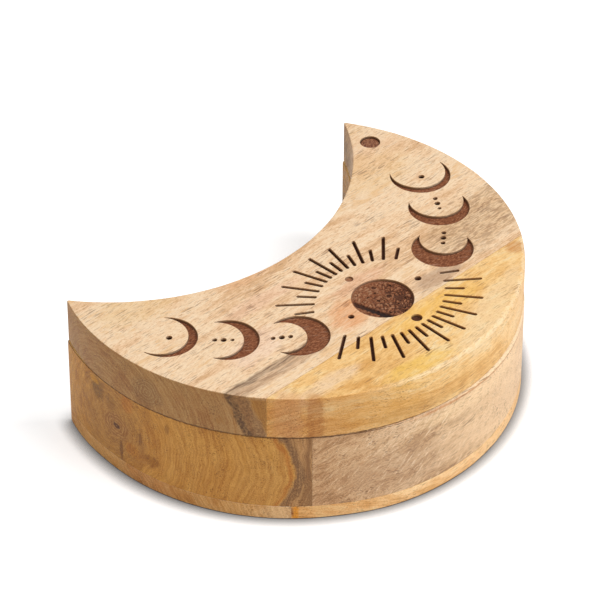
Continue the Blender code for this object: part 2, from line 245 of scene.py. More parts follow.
def moon_phase(centre, opening, half_angle, thickness, steps=64):
    """A waning moon: a round back, and a flatter inner arc through the same two horns."""
    centre = Vector(centre)
    way = heading(opening)
    waist = MOON_RADIUS - thickness
    across = MOON_RADIUS * math.cos(half_angle)
    shift = (MOON_RADIUS ** 2 - waist ** 2) / (2 * (waist + across))
    horn = math.atan2(MOON_RADIUS * math.sin(half_angle), across - shift)
    back = arc(centre, MOON_RADIUS, opening + half_angle, opening - half_angle + 2 * math.pi, steps)
    front = arc(centre + way * shift, shift + waist, opening - horn + 2 * math.pi, opening + horn,
                steps, outward=-1)
    outline = back + front[1:-1]
    tightened = []
    for i, (point, normal, _) in enumerate(outline):
        other = outline[-i if 0 < i < len(outline) else 0][0]
        tightened.append((point, normal, (point - other).length / 2))
    return tightened


def round_slot(start, end, width, end_steps=6):
    """A straight slot with round ends."""
    way = math.atan2(end[1] - start[1], end[0] - start[0])
    near = arc(start, width / 2, way + math.pi / 2, way + 3 * math.pi / 2, end_steps,
               room=width / 2)
    far = arc(end, width / 2, way - math.pi / 2, way + math.pi / 2, end_steps, room=width / 2)
    return near + far


# Meshes

def ring(outline, grow, height):
    """The outline grown or drawn in at a height. A thin stretch is drawn in by less than its room."""
    points = []
    for point, normal, room in outline:
        place = point + normal * max(grow, -0.8 * room)
        points.append(Vector((place.x, place.y, height)))
    return points


def bridge(form, low, high):
    """Faces between two matching loops of vertices."""
    for i in range(len(low)):
        j = (i + 1) % len(low)
        form.faces.new((low[i], low[j], high[j], high[i]))


def add_loft(form, rings):
    """Add a closed solid through matching rings, lowest first, to a bmesh."""
    loops = [[form.verts.new(point) for point in points] for points in rings]
    form.faces.new(loops[0][::-1])
    for low, high in zip(loops, loops[1:]):
        bridge(form, low, high)
    form.faces.new(loops[-1])


def add_object(name, data):
    obj = bpy.data.objects.new(name, data)
    bpy.context.scene.collection.objects.link(obj)
    return obj


def mesh_object(name, form):
    """An object from a bmesh, which is used up."""
    mesh = bpy.data.meshes.new(name)
    form.to_mesh(mesh)
    form.free()
    return add_object(name, mesh)


def carved(obj, *cutters):
    """Cut the cutters out of the object and keep the result as its mesh."""
    for cutter in cutters:
        modifier = obj.modifiers.new(cutter.name, "BOOLEAN")
        modifier.operation = "DIFFERENCE"
        modifier.solver = "EXACT"
        modifier.object = cutter
    graph = bpy.context.evaluated_depsgraph_get()
    mesh = bpy.data.meshes.new_from_object(obj.evaluated_get(graph))
    obj.modifiers.clear()
    old = obj.data
    obj.data = mesh
    bpy.data.meshes.remove(old)


def removed(*objects):
    for obj in objects:
        bpy.data.objects.remove(obj, do_unlink=True)


def finish_surface(obj, material):
    """Smooth round faces and flat level ones, with the creases kept sharp."""
    mesh = obj.data
    mesh.materials.clear()
    mesh.materials.append(material)
    mesh.shade_smooth()
    mesh.set_sharp_from_angle(angle=CREASE)
    for face in mesh.polygons:
        face.use_smooth = abs(face.normal.z) < LEVEL


def unevenness(seed):
    """A hand-sanded edge: how much its width varies, point by point along the outline."""
    picker = random.Random(seed)
    waves = [(picker.uniform(3, 40), picker.uniform(0, 2 * math.pi)) for _ in range(9)]

    def at(i):
        turn = 2 * math.pi * i / WAVE_POINTS
        return 1 + UNEVENNESS * sum(math.sin(round(k) * turn + phase) for k, phase in waves) / 3

    return at


def round_edge(outline, widths, level, way):
    """The rings of a rounded edge, from the level face out to the side."""
    rings = []
    for k in range(EASE_STEPS + 1):
        angle = k * math.pi / 2 / EASE_STEPS
        points = []
        for (place, normal, _), width in zip(outline, widths):
            spot = place - normal * width * (1 - math.sin(angle))
            height = level + way * width * (1 - math.cos(angle))
            points.append(Vector((spot.x, spot.y, height)))
        rings.append(points)
    return rings


def eased_board(name, outline, bottom, top, under_ease, top_ease, seed):
    """A board with hand-rounded edges. An ease is a width, or a function that gives it by place."""
    uneven = unevenness(seed)

    def widths(ease):
        return [(ease(place) if callable(ease) else ease) * uneven(i)
                for i, (place, _, _) in enumerate(outline)]

    lower = round_edge(outline, widths(under_ease), bottom, 1)
    upper = round_edge(outline, widths(top_ease), top, -1)
    form = bmesh.new()
    add_loft(form, lower + upper[::-1])
    obj = mesh_object(name, form)
    obj.location = BELLY_CENTRE
    return obj


def along_belly(place, middle, half_width, fade):
    """1 on the belly's side about a bearing in degrees, fading out to 0 on both sides of it."""
    if place.length < BELLY_RADIUS - 0.002:
        return 0.0
    bearing = math.degrees(math.atan2(place.y, place.x))
    off = abs((bearing - middle + 180) % 360 - 180)
    reach = min(1.0, max(0.0, (half_width + fade - off) / fade))
    return reach * reach * (3 - 2 * reach)


def worn_ease(place):
    """The lid's upper edge: crisp all round, and rubbed rounder along the front right."""
    return LID_TOP_EASE + (WORN_EASE - LID_TOP_EASE) * along_belly(place, *WORN_LID)


def worn_rim(place):
    """The wall's upper edge, rubbed rounder along the front right."""
    return RIM_EASE + (WORN_RIM_EASE - RIM_EASE) * along_belly(place, *WORN_WALL)


def sawn_outline():
    """The outline of the walls and base, sawn a little inside the lid's along the front left."""
    outline = crescent(0.0, TIP_RADIUS, TIP_STEPS)
    return [(place - normal * SAWN_IN * along_belly(place, *SAWN_SIDE), normal, room)
            for place, normal, room in outline]


def beyond_seam(side, front_width):
    """A block that takes away all of a board on one side of its glued seam."""
    reach = 4 * BELLY_RADIUS
    across = Vector((-math.sin(SEAM_SLANT), math.cos(SEAM_SLANT), 0.0))
    on_seam = BELLY_CENTRE + Vector((0.0, front_width - BELLY_RADIUS, 0.0))
    form = bmesh.new()
    bmesh.ops.create_cube(form, size=reach)
    obj = mesh_object("beyond_seam", form)
    obj.location = on_seam - across * side * (reach - GLUE_LINE) / 2
    obj.rotation_euler.z = SEAM_SLANT
    return obj


def parted(whole, front_width):
    """The rear and the front board of a glued-up blank."""
    pair = []
    for side in (1, -1):
        obj = whole.copy()
        obj.data = whole.data.copy()
        bpy.context.scene.collection.objects.link(obj)
        block = beyond_seam(side, front_width)
        carved(obj, block)
        removed(block)
        obj.data.transform(obj.matrix_basis)
        obj.matrix_basis = Matrix.Identity(4)
        pair.append(obj)
    removed(whole)
    return pair


# Carving

def recess_rings(outline, depth):
    """A recess with a worn lip, slightly drafted walls and a small fillet round its floor."""
    rings = []
    floor = LID_TOP - depth
    for k in range(4):
        angle = k * math.pi / 6
        inward = FLOOR_FILLET * (1 - math.sin(angle))
        rings.append(ring(outline, -DRAFT - inward, floor + FLOOR_FILLET * (1 - math.cos(angle))))
    rings.append(ring(outline, -DRAFT / 2, LID_TOP - 2 * LIP))
    rings.append(ring(outline, LIP / 3, LID_TOP - LIP))
    rings.append(ring(outline, LIP, LID_TOP - LIP / 4))
    rings.append(ring(outline, 2 * LIP, LID_TOP + LIP / 2))
    rings.append(ring(outline, 2 * LIP, LID_TOP + PAST))
    return rings


def phase_outlines():
    """The waning moons of both arms, and the dots that stand along each one's opening."""
    moons = []
    dots = []
    for phase in PHASES:
        for x, y, opening, half_angle, first_dot in phase["moons"]:
            opening = math.radians(opening)
            moons.append(moon_phase((x, y), opening, math.radians(half_angle), phase["thickness"]))
            for i, radius in enumerate(phase["dots"]):
                along = first_dot + i * DOT_PITCH
                place = (x + along * math.cos(opening), y + along * math.sin(opening))
                dots.append(circle(place, radius, 24))
    return moons, dots


def ray_outlines(fan):
    """One fan of rays. They start on its arc, closer in the middle, and point away from the moon."""
    outlines = []
    for i in range(fan["count"]):
        part = 1 - 2 * i / (fan["count"] - 1)
        bearing = fan["middle"] + fan["spread"] * (FAN_EVENNESS * part
                                                   + (1 - FAN_EVENNESS) * part ** 3)
        way = heading(fan["middle"] + fan["turn"] * part)
        foot = heading(bearing) * fan["radius"] + Vector(fan["centre"])
        length = RAY_LONG if i % 2 else RAY_SHORT
        end = foot + way * (length - RAY_WIDTH / 2)
        outlines.append(round_slot(foot + way * RAY_WIDTH / 2, end, RAY_WIDTH))
    return outlines


def crater_field():
    """Craters scattered over the full moon, clear of each other."""
    picker = random.Random(MOON_SEED)
    found = []
    while len(found) < CRATER_COUNT:
        radius = picker.choice(CRATER_RADII)
        reach = (MOON_RADIUS - radius * 1.6) * math.sqrt(picker.random())
        turn = picker.uniform(0, 2 * math.pi)
        centre = Vector((reach * math.cos(turn), reach * math.sin(turn)))
        if all((centre - other).length > 1.25 * (radius + size) for other, size in found):
            found.append((centre, radius))
    return found


def moonscape(x, y, craters):
    """Height of the full moon's floor over its mean level: wrinkled plains, craters and a valley."""
    place = Vector((x, y, 0.0))
    bent = place + BEND_REACH * noise.noise_vector(place / BEND_SIZE)
    wrinkles = abs(noise.noise(bent / WRINKLE_SIZE)) - 0.2
    height = WRINKLE_HEIGHT * wrinkles + SWELL_HEIGHT * noise.noise(place / SWELL_SIZE)
    for centre, radius in craters:
        far = (Vector((x, y)) - centre).length / radius
        if far < 1.6:
            bowl = -CRATER_BOWL if far < 0.80 else 0.0
            rim = CRATER_RIM * math.exp(-((far - 1.0) / 0.20) ** 2)
            height = 0.4 * height + bowl + rim
    to_valley = x - VALLEY_X + VALLEY_BEND * (y - VALLEY_Y)
    if abs(y) < VALLEY_REACH:
        height -= VALLEY_DEPTH * math.exp(-(to_valley / VALLEY_WIDTH) ** 4)
    return max(min(height, FLOOR_HIGH), FLOOR_LOW)


def tilted(loops):
    """Tilt the full moon's floor, so that it is deepest at its front right."""
    for vertex in sum(loops, []):
        below = LID_TOP - vertex.co.z
        if below > 2.5 * LIP:
            side = vertex.co.to_2d().dot(FLOOR_TILT) / MOON_RADIUS
            vertex.co.z = LID_TOP - below * (FLOOR_MEAN + side)


def full_moon(form):
    """The cutter for the full moon, with the moonscape as its floor."""
    noise.seed_set(MOON_SEED)  # unseeded, noise_vector differs from run to run
    craters = crater_field()
    rings = recess_rings(circle((0, 0), MOON_RADIUS, MOON_STEPS), MOON_DEPTH)
    walls = [[form.verts.new(point) for point in points] for points in rings[1:]]
    for low, high in zip(walls, walls[1:]):
        bridge(form, low, high)
    form.faces.new(walls[-1])
    floor = [walls[0]]
    for k in range(MOON_RINGS - 1, 0, -1):
        inner = []
        for vertex in walls[0]:
            place = vertex.co.to_2d() * k / MOON_RINGS
            fade = min(1.0, (1 - k / MOON_RINGS) * 12)
            height = LID_TOP - MOON_DEPTH + fade * moonscape(place.x, place.y, craters)
            inner.append(form.verts.new((place.x, place.y, height)))
        bridge(form, floor[-1], inner)
        floor.append(inner)
    form.faces.new(floor[-1][::-1])
    tilted(walls + floor[1:])


def carving_cutter():
    """Every recess in the lid's top as one cutter."""
    moons, dots = phase_outlines()
    kinds = [(outline, MOON_DEPTH) for outline in moons]
    kinds += [(outline, DOT_DEPTH) for outline in dots]
    kinds += [(outline, RAY_DEPTH) for outline in ray_outlines(BACK_FAN) + ray_outlines(FRONT_FAN)]
    for star in STARS:
        place = heading(math.radians(star["bearing"])) * star["reach"]
        kinds.append((circle(place, star["radius"], 32), star["depth"]))
    form = bmesh.new()
    for outline, depth in kinds:
        add_loft(form, recess_rings(outline, depth))
    full_moon(form)
    bmesh.ops.recalc_face_normals(form, faces=form.faces)
    obj = mesh_object("carving", form)
    obj.location = BELLY_CENTRE + Vector((CARVING_SHIFT, -CARVING_RISE, 0.0))
    obj.rotation_euler.z = CARVING_TURN
    return obj


def turned_hole(name, profile):
    """A cutter round the pivot's axis, from (radius, height) pairs, lowest first."""
    form = bmesh.new()
    add_loft(form, [ring(circle(PIVOT.to_2d(), radius, 56), 0.0, z) for radius, z in profile])
    return mesh_object(name, form)


def plug_hole():
    """The screw's bore through the lid, opened out above it for the washer and the plug."""
    wide = PLUG_RADIUS + GLUE_LINE
    floor = HEAD_SEAT - SEAT_GAP
    return turned_hole("plug_hole", [
        (LID_BORE, LID_BOTTOM - PAST), (LID_BORE, floor), (wide, floor), (wide, LID_TOP - LIP),
        (wide + LIP, LID_TOP), (wide + 2 * LIP, LID_TOP + LIP), (wide + 2 * LIP, LID_TOP + PAST)])


# Materials

def srgb(code):
    """A linear colour from its web code."""
    values = [int(code[i:i + 2], 16) / 255 for i in (0, 2, 4)]
    linear = [v / 12.92 if v <= 0.04045 else ((v + 0.055) / 1.055) ** 2.4 for v in values]
    return (*linear, 1.0)


class Paint:
    """One node tree, built with short calls."""

    def __init__(self, tree):
        self.tree = tree

    def set(self, socket, value):
        if isinstance(value, bpy.types.NodeSocket):
            self.tree.links.new(value, socket)
        elif value is not None:
            socket.default_value = value

    def node(self, kind, inputs=(), output=0, **settings):
        """Add a node with its inputs, given by name or number, and return one output."""
        made = self.tree.nodes.new("ShaderNode" + kind)
        for key, value in settings.items():
            setattr(made, key, value)
        for key, value in dict(inputs).items():
            self.set(made.inputs[key], value)
        return made.outputs[output]

    def math(self, operation, a, b=None, c=None, clamp=False):
        inputs = {0: a, 1: b, 2: c}
        return self.node("Math", inputs, operation=operation, use_clamp=clamp)

    def times(self, *factors):
        product = factors[0]
        for factor in factors[1:]:
            product = self.math("MULTIPLY", product, factor)
        return product

    def minus(self, a, b):
        return self.math("SUBTRACT", a, b)

    def plus(self, *terms):
        total = terms[0]
        for term in terms[1:]:
            total = self.math("ADD", total, term)
        return total

    def vector(self, operation, a, b=None):
        output = "Value" if operation in ("LENGTH", "DISTANCE") else "Vector"
        return self.node("VectorMath", {0: a, 1: b}, output, operation=operation)

    def combine(self, x, y, z):
        return self.node("CombineXYZ", {0: x, 1: y, 2: z})

    def separate(self, vector):
        return self.node("SeparateXYZ", {0: vector}).node.outputs

    def turned(self, vector, degrees):
        """A place turned round the upright axis."""
        turn = (0.0, 0.0, math.radians(degrees))
        return self.node("Mapping", {"Vector": vector, "Rotation": turn})

    def noise(self, vector, size, detail=3.0, roughness=0.5, output=0):
        """Noise whose features are about the given size along each axis."""
        inputs = {"Vector": self.vector("DIVIDE", vector, size), "Scale": 1.0, "Detail": detail,
                  "Roughness": roughness}
        return self.node("TexNoise", inputs, output)

    def span(self, value, low, high, to_low=0.0, to_high=1.0):
        """The value's place between two limits, with a smooth start and end."""
        inputs = {"Value": value, "From Min": low, "From Max": high, "To Min": to_low,
                  "To Max": to_high}
        return self.node("MapRange", inputs, interpolation_type="SMOOTHSTEP")

    def within(self, value, low, high, soft):
        """1 between two limits, fading out over a soft distance on both sides."""
        rise = self.span(value, low - soft, low + soft)
        return self.times(rise, self.span(value, high + soft, high - soft))

    def mix(self, factor, a, b, blend="MIX"):
        """Two colours mixed. A colour is a web code, a socket or four linear numbers."""
        a, b = (srgb(colour) if isinstance(colour, str) else colour for colour in (a, b))
        return self.node("Mix", {0: factor, 6: a, 7: b}, 2, data_type="RGBA", blend_type=blend)

    def ramp(self, value, stops):
        output = self.node("ValToRGB", {0: value})
        band = output.node.color_ramp
        while len(band.elements) < len(stops):
            band.elements.new(1.0)
        for element, (place, colour) in zip(band.elements, stops):
            element.position = place
            element.color = srgb(colour)
        return output


class Wood(Paint):
    """Mango wood that runs right through a board: fibres along X, rings round a pith, pores."""

    def __init__(self, name, turn, pith=(0.0, -40.0), sway=4.0):
        self.material = bpy.data.materials.new(name)
        self.material.use_nodes = True
        super().__init__(self.material.node_tree)
        self.shader = self.tree.nodes["Principled BSDF"]
        self.measure()
        self.lay_fibres(turn, sway)
        self.lay_figure(pith)

    def measure(self):
        """The spot in millimetres from the belly's centre, its bearing, and how its surface faces."""
        coordinates = self.node("TexCoord").node.outputs
        self.facing = coordinates["Normal"]
        from_centre = self.vector("SUBTRACT", coordinates["Object"], tuple(BELLY_CENTRE))
        self.spot = self.vector("MULTIPLY", from_centre, (MM, MM, MM))
        self.x, self.y, self.z = self.separate(self.spot)
        self.bearing = self.math("ARCTAN2", self.y, self.x)
        self.level = self.math("ABSOLUTE", self.separate(self.facing)[2])

    def sideways(self, vector, size, amount):
        """Noise that only moves a place across the fibres."""
        noise_colour = self.noise(vector, size, detail=2.0, output=1)
        centred = self.vector("SUBTRACT", noise_colour, (0.5, 0.5, 0.5))
        return self.vector("MULTIPLY", centred, (0.0, amount, amount))

    def lay_fibres(self, turn, sway):
        """The place along and across the fibres, which run at a turn and sway by some millimetres."""
        straight = self.turned(self.spot, -turn)
        wave = self.sideways(straight, (70.0, 26.0, 26.0), 2 * sway)
        ripple = self.sideways(straight, (9.0, 3.0, 3.0), 1.4)
        self.grain = self.vector("ADD", self.vector("ADD", straight, wave), ripple)

    def lay_figure(self, pith):
        """The rings round the pith, the fibres, specks and pores, and where end grain shows."""
        along, across, up = self.separate(self.grain)
        y = self.minus(across, pith[0])
        z = self.minus(up, pith[1])
        radius = self.math("SQRT", self.plus(self.times(y, y), self.times(z, z)))
        turn_round = self.times(self.math("ARCTAN2", y, z), 40.0)
        self.polar = self.combine(along, radius, turn_round)
        self.broad = self.noise(self.polar, (60.0, 5.0, 22.0))
        self.fibre = self.noise(self.polar, (9.0, 0.5, 3.5), detail=4.0, roughness=0.65)
        self.mottle = self.noise(self.grain, (8.0, 4.0, 4.0))
        self.speck = self.noise(self.grain, (1.7, 0.32, 0.32), roughness=0.7)
        self.end = self.span(self.math("ABSOLUTE", self.separate(self.facing)[0]), 0.3, 0.95)
        self.pores = self.slits((5.0, 0.42, 0.42), 0.46)
        self.slots = self.slits((9.0, 0.7, 0.7), 0.16)

    def slits(self, size, share):
        """Pores: short thin slits along the fibres, with a share of the places filled."""
        place = self.vector("DIVIDE", self.grain, size)
        cells = self.node("TexVoronoi", {"Vector": place, "Scale": 1.0}).node.outputs
        chance = self.separate(cells["Color"])[0]
        crowd = self.noise(self.grain, (22.0, 6.0, 6.0), detail=2.0)
        filled = self.plus(chance, self.times(self.minus(crowd, 0.5), -1.6))
        width = self.span(filled, share + 0.1, share - 0.25, 0.0, 0.42)
        inside = self.minus(width, cells["Distance"])
        return self.span(inside, -0.04, 0.12)

    def tones(self, *codes, lines=0.38):
        """The wood's own colours, from its darkest rings to its palest, with a share of lines."""
        tone = self.plus(self.times(self.broad, 0.4), self.times(self.fibre, lines),
                         self.times(self.mottle, 0.18), self.times(self.speck, 0.42 - lines))
        return self.ramp(tone, list(zip(TONE_STOPS, codes)))

    def rough(self, size, amount):
        """Noise of a size in millimetres, from minus to plus the amount."""
        ripple = self.minus(self.noise(self.spot, (size, size, size), detail=4.0), 0.5)
        return self.times(ripple, 4 * amount)

    def rings(self, spacing, low=0.4, high=0.6):
        """Growth rings of one spacing round the pith, as soft lines."""
        return self.span(self.noise(self.polar, (40.0, spacing, 16.0)), low, high)

    def reach(self, centre, radii, size, amount):
        """The distance from a centre, 1 on an ellipsoid of the given radii, with a ragged course."""
        off = self.vector("DIVIDE", self.vector("SUBTRACT", self.spot, centre), radii)
        return self.plus(self.vector("LENGTH", off), self.rough(size, amount))

    def blob(self, centre, radii, turn, ragged=0.5):
        """A soft mask, 1 inside an ellipsoid that is turned by some degrees."""
        local = self.turned(self.vector("SUBTRACT", self.spot, centre), -turn)
        reach = self.vector("LENGTH", self.vector("DIVIDE", local, radii))
        rough = self.minus(self.noise(self.grain, (7.0, 2.2, 2.2), detail=4.0), 0.5)
        return self.span(self.plus(reach, self.times(rough, 2 * ragged)), 1.25, 0.6)

    def stain(self, colour, patches):
        """Patches of other colours. Each has a centre, radii, a turn, a strength and a web code."""
        for centre, radii, turn, strength, code in patches:
            mask = self.times(self.blob(centre, radii, turn), strength)
            grained = self.times(mask, self.span(self.fibre, 0.3, 0.65, 1.15, 0.7))
            colour = self.mix(grained, colour, code)
        return colour

    def seal(self, colour, pore, pore_strength, end_tint, recess=None):
        """Speckle the wood, open its pores, darken its end grain, and connect it to the shader."""
        speckle = self.ramp(self.speck, [(0.34, "cdb8a0"), (0.48, "faf6f0"), (0.62, "ffffff")])
        colour = self.mix(self.span(self.end, 0.0, 1.0, 0.6, 1.15), colour,
                          self.mix(1.0, colour, speckle, "MULTIPLY"))
        veins = self.times(self.end, self.rings(0.8, 0.32, 0.68))
        colour = self.mix(veins, colour, self.mix(1.0, colour, "e4d8ca", "MULTIPLY"))
        slits = self.math("MAXIMUM", self.times(self.pores, 0.7), self.slots)
        colour = self.mix(self.times(slits, pore_strength), colour, pore)
        colour = self.mix(self.end, colour, self.mix(1.0, colour, end_tint, "MULTIPLY"))
        rough = self.span(self.fibre, 0.3, 0.7, 0.5, 0.64)
        height = self.minus(self.times(self.plus(self.fibre, self.speck), 0.3), slits)
        if recess:
            colour, rough = recess(self, colour, rough)
        bump = self.node("Bump", {"Strength": 0.35, "Distance": 0.00015, "Height": height})
        self.set(self.shader.inputs["Base Color"], colour)
        self.set(self.shader.inputs["Roughness"], rough)
        self.set(self.shader.inputs["Normal"], bump)
        self.shader.inputs["Specular IOR Level"].default_value = 0.3
        return self.material


def in_carving(wood, below):
    """1 in the lid's recesses: below its top, but not on its own sides or underside."""
    flat = wood.combine(wood.x, wood.y, 0.0)
    hollow_centre = (0, MM * HOLLOW_OFFSET, 0)
    from_belly = wood.minus(MM * BELLY_RADIUS, wood.vector("LENGTH", flat))
    from_hollow = wood.minus(wood.vector("DISTANCE", flat, hollow_centre), MM * HOLLOW_RADIUS)
    inside = wood.math("GREATER_THAN", wood.math("MINIMUM", from_belly, from_hollow), 2.6)
    return wood.times(inside, wood.span(below, 0.04, 0.16), wood.math("LESS_THAN", below, 4.5))


def carved_stain_and_shade(wood, colour, rough):
    """Reddish-brown stain in the recesses, with painted shade over it: darker on their walls and
    where they are deepest, paler where the full moon's floor rises.
    """
    below = wood.minus(MM * LID_TOP, wood.z)
    speck = wood.noise(wood.grain, (1.3, 0.35, 0.35), roughness=0.6)
    stain = wood.ramp(speck, [(0.32, "4e260f"), (0.46, "744024"), (0.58, "8c5434"),
                              (0.72, "b5805a")])
    scratch = wood.noise(wood.turned(wood.spot, 38), (8.0, 0.5, 4.0), detail=2.0)
    stain = wood.mix(wood.span(scratch, 0.6, 0.7, 0.0, 0.35), stain, "cfa88c")
    floor = MM * MOON_DEPTH
    # Painted light and shade by depth: paler where the floor rises above its mean level, darker where
    # it sinks below, darkest in the deeper rays and dots.
    stain = wood.mix(wood.span(below, floor - 0.04, floor - 0.24, 0.0, 0.5), stain, "a07050")
    stain = wood.mix(wood.span(below, floor + 0.02, floor + 0.14, 0.0, 0.8), stain, "40200f")
    stain = wood.mix(wood.span(below, floor + 0.25, floor + 0.6), stain, "210e07")
    # Painted shade on the recess walls.
    steep = wood.span(wood.level, 0.75, 0.3)
    stain = wood.mix(wood.times(steep, 0.8), stain, "2c130b")
    stain = wood.mix(wood.span(below, 0.95, 0.6, 0.0, 0.35), stain, colour)
    sunk = in_carving(wood, below)
    return wood.mix(sunk, colour, stain), wood.mix(sunk, rough, (0.8, 0.8, 0.8, 1.0))


def rubbed_edge_highlight(wood, colour):
    """A pale band along the lid's front edge: painted highlight where the rounded edge faces the key
    lamp, and rubbed wear where the finish has gone.
    """
    along = wood.within(wood.bearing, math.radians(-112), math.radians(-35), 0.25)
    out = wood.vector("LENGTH", wood.combine(wood.x, wood.y, 0.0))
    edge = wood.plus(wood.minus(MM * BELLY_RADIUS, out), wood.minus(MM * LID_TOP, wood.z),
                     wood.rough(2.2, 0.75))
    rub_and_highlight = wood.times(along, wood.span(edge, 2.1, 1.2), 0.5)
    return wood.mix(rub_and_highlight, colour, "f7e2bd")


def worn_rim_highlight(wood, colour):
    """The wall's upper edge along the front right: a pale band of painted highlight where the rubbed,
    rounded rim faces the key lamp, over an orange-brown line.
    """
    along = wood.within(wood.bearing, math.radians(-106), math.radians(-40), 0.12)
    width = wood.span(wood.bearing, math.radians(-107), math.radians(-45), 0.5, 3.0)
    below = wood.plus(wood.minus(MM * WALL_TOP, wood.z), wood.rough(3.0, 0.2))
    over = wood.minus(below, width)
    line = wood.times(along, wood.within(over, 0.0, 0.6, 0.3), 0.65)
    colour = wood.mix(line, colour, "b06a30")
    # Painted highlight: the pale band on the rim above the orange-brown line.
    return wood.mix(wood.times(along, wood.span(over, 0.1, -0.4), 0.75), colour, "fae0ba")


def painted_joint_shade(wood, colour):
    """Painted shade where the lid meets the walls, as a thin ragged dark line on the sides, heavier
    on the left, away from the key lamp.
    """
    middle = MM * (WALL_TOP + LID_BOTTOM) / 2
    off = wood.math("ABSOLUTE", wood.minus(wood.z, middle))
    near = wood.span(wood.plus(off, wood.rough(1.5, 0.15)), 0.75, 0.4)
    upright = wood.span(wood.level, 0.9, 0.6)
    left = wood.span(wood.x, 10.0, -40.0, 0.35, 0.85)
    return wood.mix(wood.times(near, upright, left), colour, "4a2c16")


def dark_streak(wood, colour):
    """The dark streak that crosses the lid in front of its left arm, and the gold beside it."""
    drift = wood.plus(wood.y, wood.times(wood.minus(wood.z, 54.0), -0.35),
                      wood.times(wood.x, 0.06), wood.rough(5.0, 0.8))
    left = wood.span(wood.x, -24.0, -46.0)
    lines = wood.span(wood.noise(wood.grain, (22.0, 0.7, 0.7)), 0.38, 0.62)
    streak = wood.times(wood.within(drift, -53.0, -45.8, 1.0), left)
    colour = wood.mix(wood.times(streak, 0.62), colour, wood.mix(lines, "8a6c55", "d2b293"))
    core = wood.times(wood.within(drift, -48.4, -45.6, 0.6), left)
    colour = wood.mix(wood.times(core, wood.span(lines, 1.0, 0.0, 0.3, 0.75)), colour, "6a503a")
    gold = wood.times(wood.within(drift, -62.0, -53.0, 0.8), wood.span(wood.z, 57.5, 56.0))
    return wood.mix(wood.times(gold, 0.85), colour, "e0ae5a")


def dark_right(wood, colour):
    """The darker figured wood at the lid's right, and the shade beside the full moon."""
    right = wood.blob((66.0, -40.0, 55.0), (34.0, 13.0, 16.0), 8.0, 0.7)
    figure = wood.noise(wood.grain, (4.0, 0.9, 0.9), detail=4.0, roughness=0.7)
    shade = wood.mix(wood.span(figure, 0.42, 0.58), "a27d5a", "e2c097")
    colour = wood.mix(wood.times(right, 0.7), colour, shade)
    disc_side = wood.blob((25.0, -52.0, 56.0), (13.0, 4.5, 9.0), -4.0)
    return wood.mix(wood.times(disc_side, 0.55), colour, "ab8d76")


def side_whorl(wood, colour):
    """The pale whorl on the lid's left side."""
    far = wood.reach((-89.5, -8.5, 47.0), (12.0, 1.0, 0.95), 5.0, 1.2)
    lines = wood.span(wood.math("SINE", wood.times(far, 4.6)), 0.0, 0.9)
    near = wood.times(wood.span(far, 8.5, 5.0), wood.span(wood.x, -78.0, -84.0))
    colour = wood.mix(wood.times(near, 0.45), colour, "b8967c")
    return wood.mix(wood.times(near, lines, 0.65), colour, "f8e6cc")


def lid_rear_wood():
    wood = Wood("pale mango wood", turn=-3.5, pith=(8.0, 30.0), sway=3.0)
    colour = wood.tones("dab084", "eac49c", "f2d0a9", "f6dcbb", "ecc597", lines=0.3)
    colour = wood.stain(colour, [
        ((-60, 20, 58), (22, 10, 8), -4, 0.45, "e8c38a"),
        ((-20, 2, 58), (16, 4, 8), -4, 0.5, "e6b081"),
        ((-52, -30, 58), (15, 7, 8), 10, 0.45, "f4d4c0"),
        ((-30, -12, 58), (20, 4, 8), -4, 0.4, "f2c8ae"),
        ((70, 20, 58), (14, 9, 8), -4, 0.4, "f0c8a4"),
        ((60, 12, 58), (20, 12, 8), -4, 0.4, "ecc58c"),
        ((-14, -42, 57), (11, 7, 9), 25, 0.65, "e39a62"),
        ((-6, -60, 57), (9, 2.6, 9), -5, 0.7, "c06c34"),
        ((3, -32, 57), (15, 4, 9), -4, 0.45, "e2a888"),
        # Painted shade: this dark patch darkens the sides round the right-hand tip, whose inner wall
        # faces away from the key lamp.
        ((71, 47, 46), (10, 20, 9.5), -30, 0.9, "857458"),
    ])
    colour = dark_right(wood, dark_streak(wood, colour))
    colour = painted_joint_shade(wood, side_whorl(wood, colour))
    return wood.seal(colour, "79523a", 0.55, "b7a077", carved_stain_and_shade)


def lid_front_wood():
    wood = Wood("golden mango wood", turn=-3.0, pith=(-78.0, 20.0), sway=5.0)
    colour = wood.tones("dca65e", "e9b974", "f1c482", "f5cf92", "f3d8a8")
    colour = wood.stain(colour, [
        ((-50, -64, 57), (16, 4, 9), -4, 0.6, "f4d9b8"),
        ((24, -80, 57), (30, 7, 9), 18, 0.55, "f2d6ac"),
        ((-20, -82, 57), (16, 5, 9), -8, 0.6, "eec35c"),
        ((10, -64, 57), (26, 6, 4), -4, 0.55, "f6c45e"),
        ((70, -40, 57), (16, 8, 9), 40, 0.6, "f8cd70"),
        # Painted light: this pale patch brightens the lid's side at the front right, where it faces
        # the key lamp.
        ((50, -76, 48), (30, 14, 9), 30, 0.5, "fbd9a6"),
        ((60, -62, 57), (4, 5, 7), 40, 0.65, "c47f3e"),
        ((-67, -59, 48), (5, 7, 20), 0, 0.55, "dfb18c"),
        ((-60, -66, 48), (3, 4, 20), 0, 0.6, "b97a38"),
        ((-40, -80, 48), (20, 8, 10), -20, 0.5, "d69d48"),
        ((-30, -85, 43), (30, 8, 3), 0, 0.35, "b98a4c"),
    ])
    colour = painted_joint_shade(wood, rubbed_edge_highlight(wood, colour))
    return wood.seal(colour, "8a5c30", 0.5, "dfc192", carved_stain_and_shade)


def knot(wood, colour):
    """The knot on the wall's left: pale rings round a dark one."""
    far = wood.reach((-90.0, 8.4, 21.6), (20.0, 1.25, 1.0), 4.0, 0.7)
    lines = wood.span(wood.math("SINE", wood.times(far, 4.8)), -0.1, 0.9)
    left = wood.span(wood.x, -70.0, -82.0)
    near = wood.times(wood.span(far, 7.0, 4.6), left)
    colour = wood.mix(wood.times(near, 0.6), colour, "a67a4c")
    colour = wood.mix(wood.times(near, lines, 0.55), colour, "e0bd92")
    return wood.mix(wood.times(left, wood.within(far, 0.5, 1.5, 0.35), 0.85), colour, "4f2a0e")


